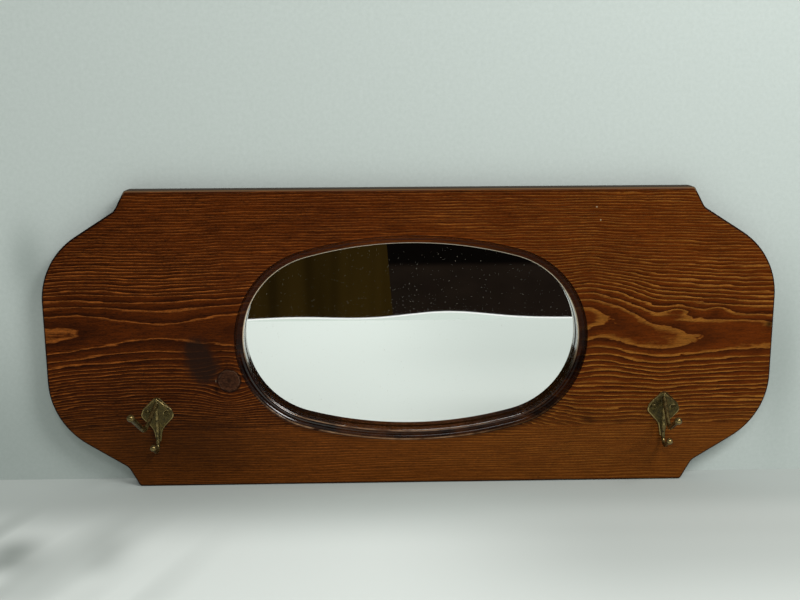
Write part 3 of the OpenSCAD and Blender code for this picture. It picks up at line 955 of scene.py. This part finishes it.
def dark_room():
    """What the mirror sees beyond the cloth, as a glowing painted reflection: a curtain on the left, an
    unlit room on the right, and the cloth below with a painted highlight along its edge.
    """
    room = Finish("dark_room")
    fold_shade = room.noise(room.x / 34, room.z / 500, 1.0, detail=1) * 1.3 + 0.45 + room.x / 900
    curtain = room.mix(fold_shade.between(0, 1), srgb(30, 21, 5), srgb(50, 37, 12))
    unlit = room.mix(room.noise(room.x / 60, room.z / 40, 5.0) + 0.5, srgb(19, 14, 11), srgb(31, 24, 19))
    unlit = room.mix(room.z.step(-62, -50), unlit, srgb(7, 5, 4))
    colour = room.mix(room.x + room.z * 0.08 > -17, curtain, unlit)
    cloth_edge = room.z + BOARD_H / 2 - 1.5 - room.along(95, 105) * 13 - room.along(-180, 90) * 4.5
    colour = room.mix(cloth_edge > 0, srgb(214, 224, 216), colour)
    # Painted highlight: a bright line along the cloth's edge.
    colour = room.mix(abs(cloth_edge) < 1.3, colour, srgb(255, 255, 253))
    glow = room.add("ShaderNodeEmission", {}, {"Color": colour})
    room.add("ShaderNodeOutputMaterial", {}, {"Surface": glow})
    return room.material


def panel(name, width, depth, place, turn, material):
    """A flat stage panel with its place in its mesh."""
    bpy.ops.object.select_all(action="DESELECT")
    bpy.ops.mesh.primitive_plane_add(size=1, location=place, rotation=turn)
    flat = named(name)
    flat.scale = (width, depth, 1)
    bpy.ops.object.transform_apply(location=True, rotation=True, scale=True)
    flat.data.materials.append(material)
    return flat


def lamp(name, place, target, size, power):
    """A square lamp that points at a target."""
    bpy.ops.object.light_add(type="AREA", location=place)
    light = named(name)
    light.data.energy = power
    light.data.size = size
    light.rotation_euler = (Vector(target) - Vector(place)).to_track_quat("-Z", "Y").to_euler()


def build_room():
    """Wall, cloth, the room in the mirror, two lamps, and a world that glossy rays see dimmer."""
    floor_z = -BOARD_H / 2 * MM
    upright = (math.pi / 2, 0, 0)
    wall = panel("wall", STAGE_W, WALL_H, (0, WALL_GAP, floor_z + WALL_H / 2), upright, papered_wall())
    panel("floor", STAGE_W, CLOTH_D, (0, WALL_GAP - CLOTH_D / 2, floor_z), (0, 0, 0), white_cloth())
    room = panel("room", ROOM_W, ROOM_H, (0, ROOM_Y, floor_z + ROOM_H / 2), upright, dark_room())
    for item in (wall, room):
        item.visible_diffuse = False
        item.visible_transmission = False
        item.visible_shadow = False
    wall.visible_glossy = False
    room.visible_camera = False
    lamp("soft_box", place=(0.8, -1.0, 1.05), target=(0, 0, 0), size=0.55, power=15)
    lamp("fill_box", place=(-0.12, -1.5, 1.15), target=(0, 0, 0), size=0.4, power=5)
    world = bpy.data.worlds.new("studio")
    bpy.context.scene.world = world
    world.use_nodes = True
    background = world.node_tree.nodes["Background"]
    background.inputs["Color"].default_value = srgb(226, 228, 226)
    ray = world.node_tree.nodes.new("ShaderNodeLightPath")
    dim = world.node_tree.nodes.new("ShaderNodeMapRange")
    dim.inputs["To Min"].default_value = WORLD_LIGHT
    dim.inputs["To Max"].default_value = WORLD_GLOSS
    world.node_tree.links.new(ray.outputs["Is Glossy Ray"], dim.inputs["Value"])
    world.node_tree.links.new(dim.outputs["Result"], background.inputs["Strength"])


def build_camera():
    """The camera, a little above the board and left of its middle."""
    bpy.ops.object.camera_add(location=CAMERA_AT)
    camera = named("camera")
    right, up = Vector(CAMERA_RIGHT), Vector(CAMERA_UP)
    camera.rotation_euler = Matrix((right, up, right.cross(up))).transposed().to_euler()
    camera.data.sensor_fit = "HORIZONTAL"
    camera.data.sensor_width = CAMERA_SENSOR
    camera.data.lens = CAMERA_LENS
    bpy.context.scene.camera = camera


# ---------------------------------------------------------------- the mirror, piece by piece

def finish_piece(piece, materials, node):
    """Gives a piece its materials, hangs it under the root body, and hides the CAD node that it stands for.
    """
    for material in materials:
        piece.data.materials.append(material)
    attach(piece, "root")
    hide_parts(node)


def paint_mirror(sheet):
    """Silvering in front, the dark gap round it, and paint behind and on the edge."""
    silver, gap, paint = range(3)
    for face in sheet.data.polygons:
        if face.normal.y > 0.5:
            face.material_index = paint
        elif face.normal.y < -0.5:
            face.material_index = gap if len(face.vertices) == 4 else silver
        else:
            face.material_index = gap if face.normal.dot(face.center) < 0 else paint


def refinish(node, material):
    """Gives a CAD piece that stays as it is a material of its own."""
    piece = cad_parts[node]
    piece.data.materials.clear()
    piece.data.materials.append(material)


upper, lower = planks()
upper_pine = stained_pine("stained_pine_upper", upper_rings, contrast=1.0, tone=0.74, knotty=True)
finish_piece(upper, [upper_pine], "upper_plank")
lower_pine = stained_pine("stained_pine_lower", lower_rings, contrast=0.6, tone=0.955, knotty=False)
finish_piece(lower, [lower_pine], "lower_plank")

sheet = mirror_sheet()
finish_piece(sheet, [silvering(), shadow_gap(), back_paint()], "mirror_glass")
paint_mirror(sheet)

cast_brass = antique_brass("antique_brass", worn=True)
left_casting = hook("left_casting", side=-1, lean=11, droop=0)
finish_piece(left_casting, [cast_brass], "left_hook")
right_casting = hook("right_casting", side=1, lean=3, droop=8.5)
finish_piece(right_casting, [cast_brass], "right_hook")

screw_brass = antique_brass("screw_brass", worn=False)
zinc = zinc_steel()
refinish("plank_dowels", raw_beech())
refinish("backing_board", hardboard())
for node in ("left_hook_screws", "right_hook_screws"):
    refinish(node, screw_brass)
for node in (
    "backing_screws", "left_hanger_plate", "right_hanger_plate",
    "left_hanger_screws", "right_hanger_screws",
):
    refinish(node, zinc)

build_room()
build_camera()
bpy.context.scene.view_settings.view_transform = "Standard"
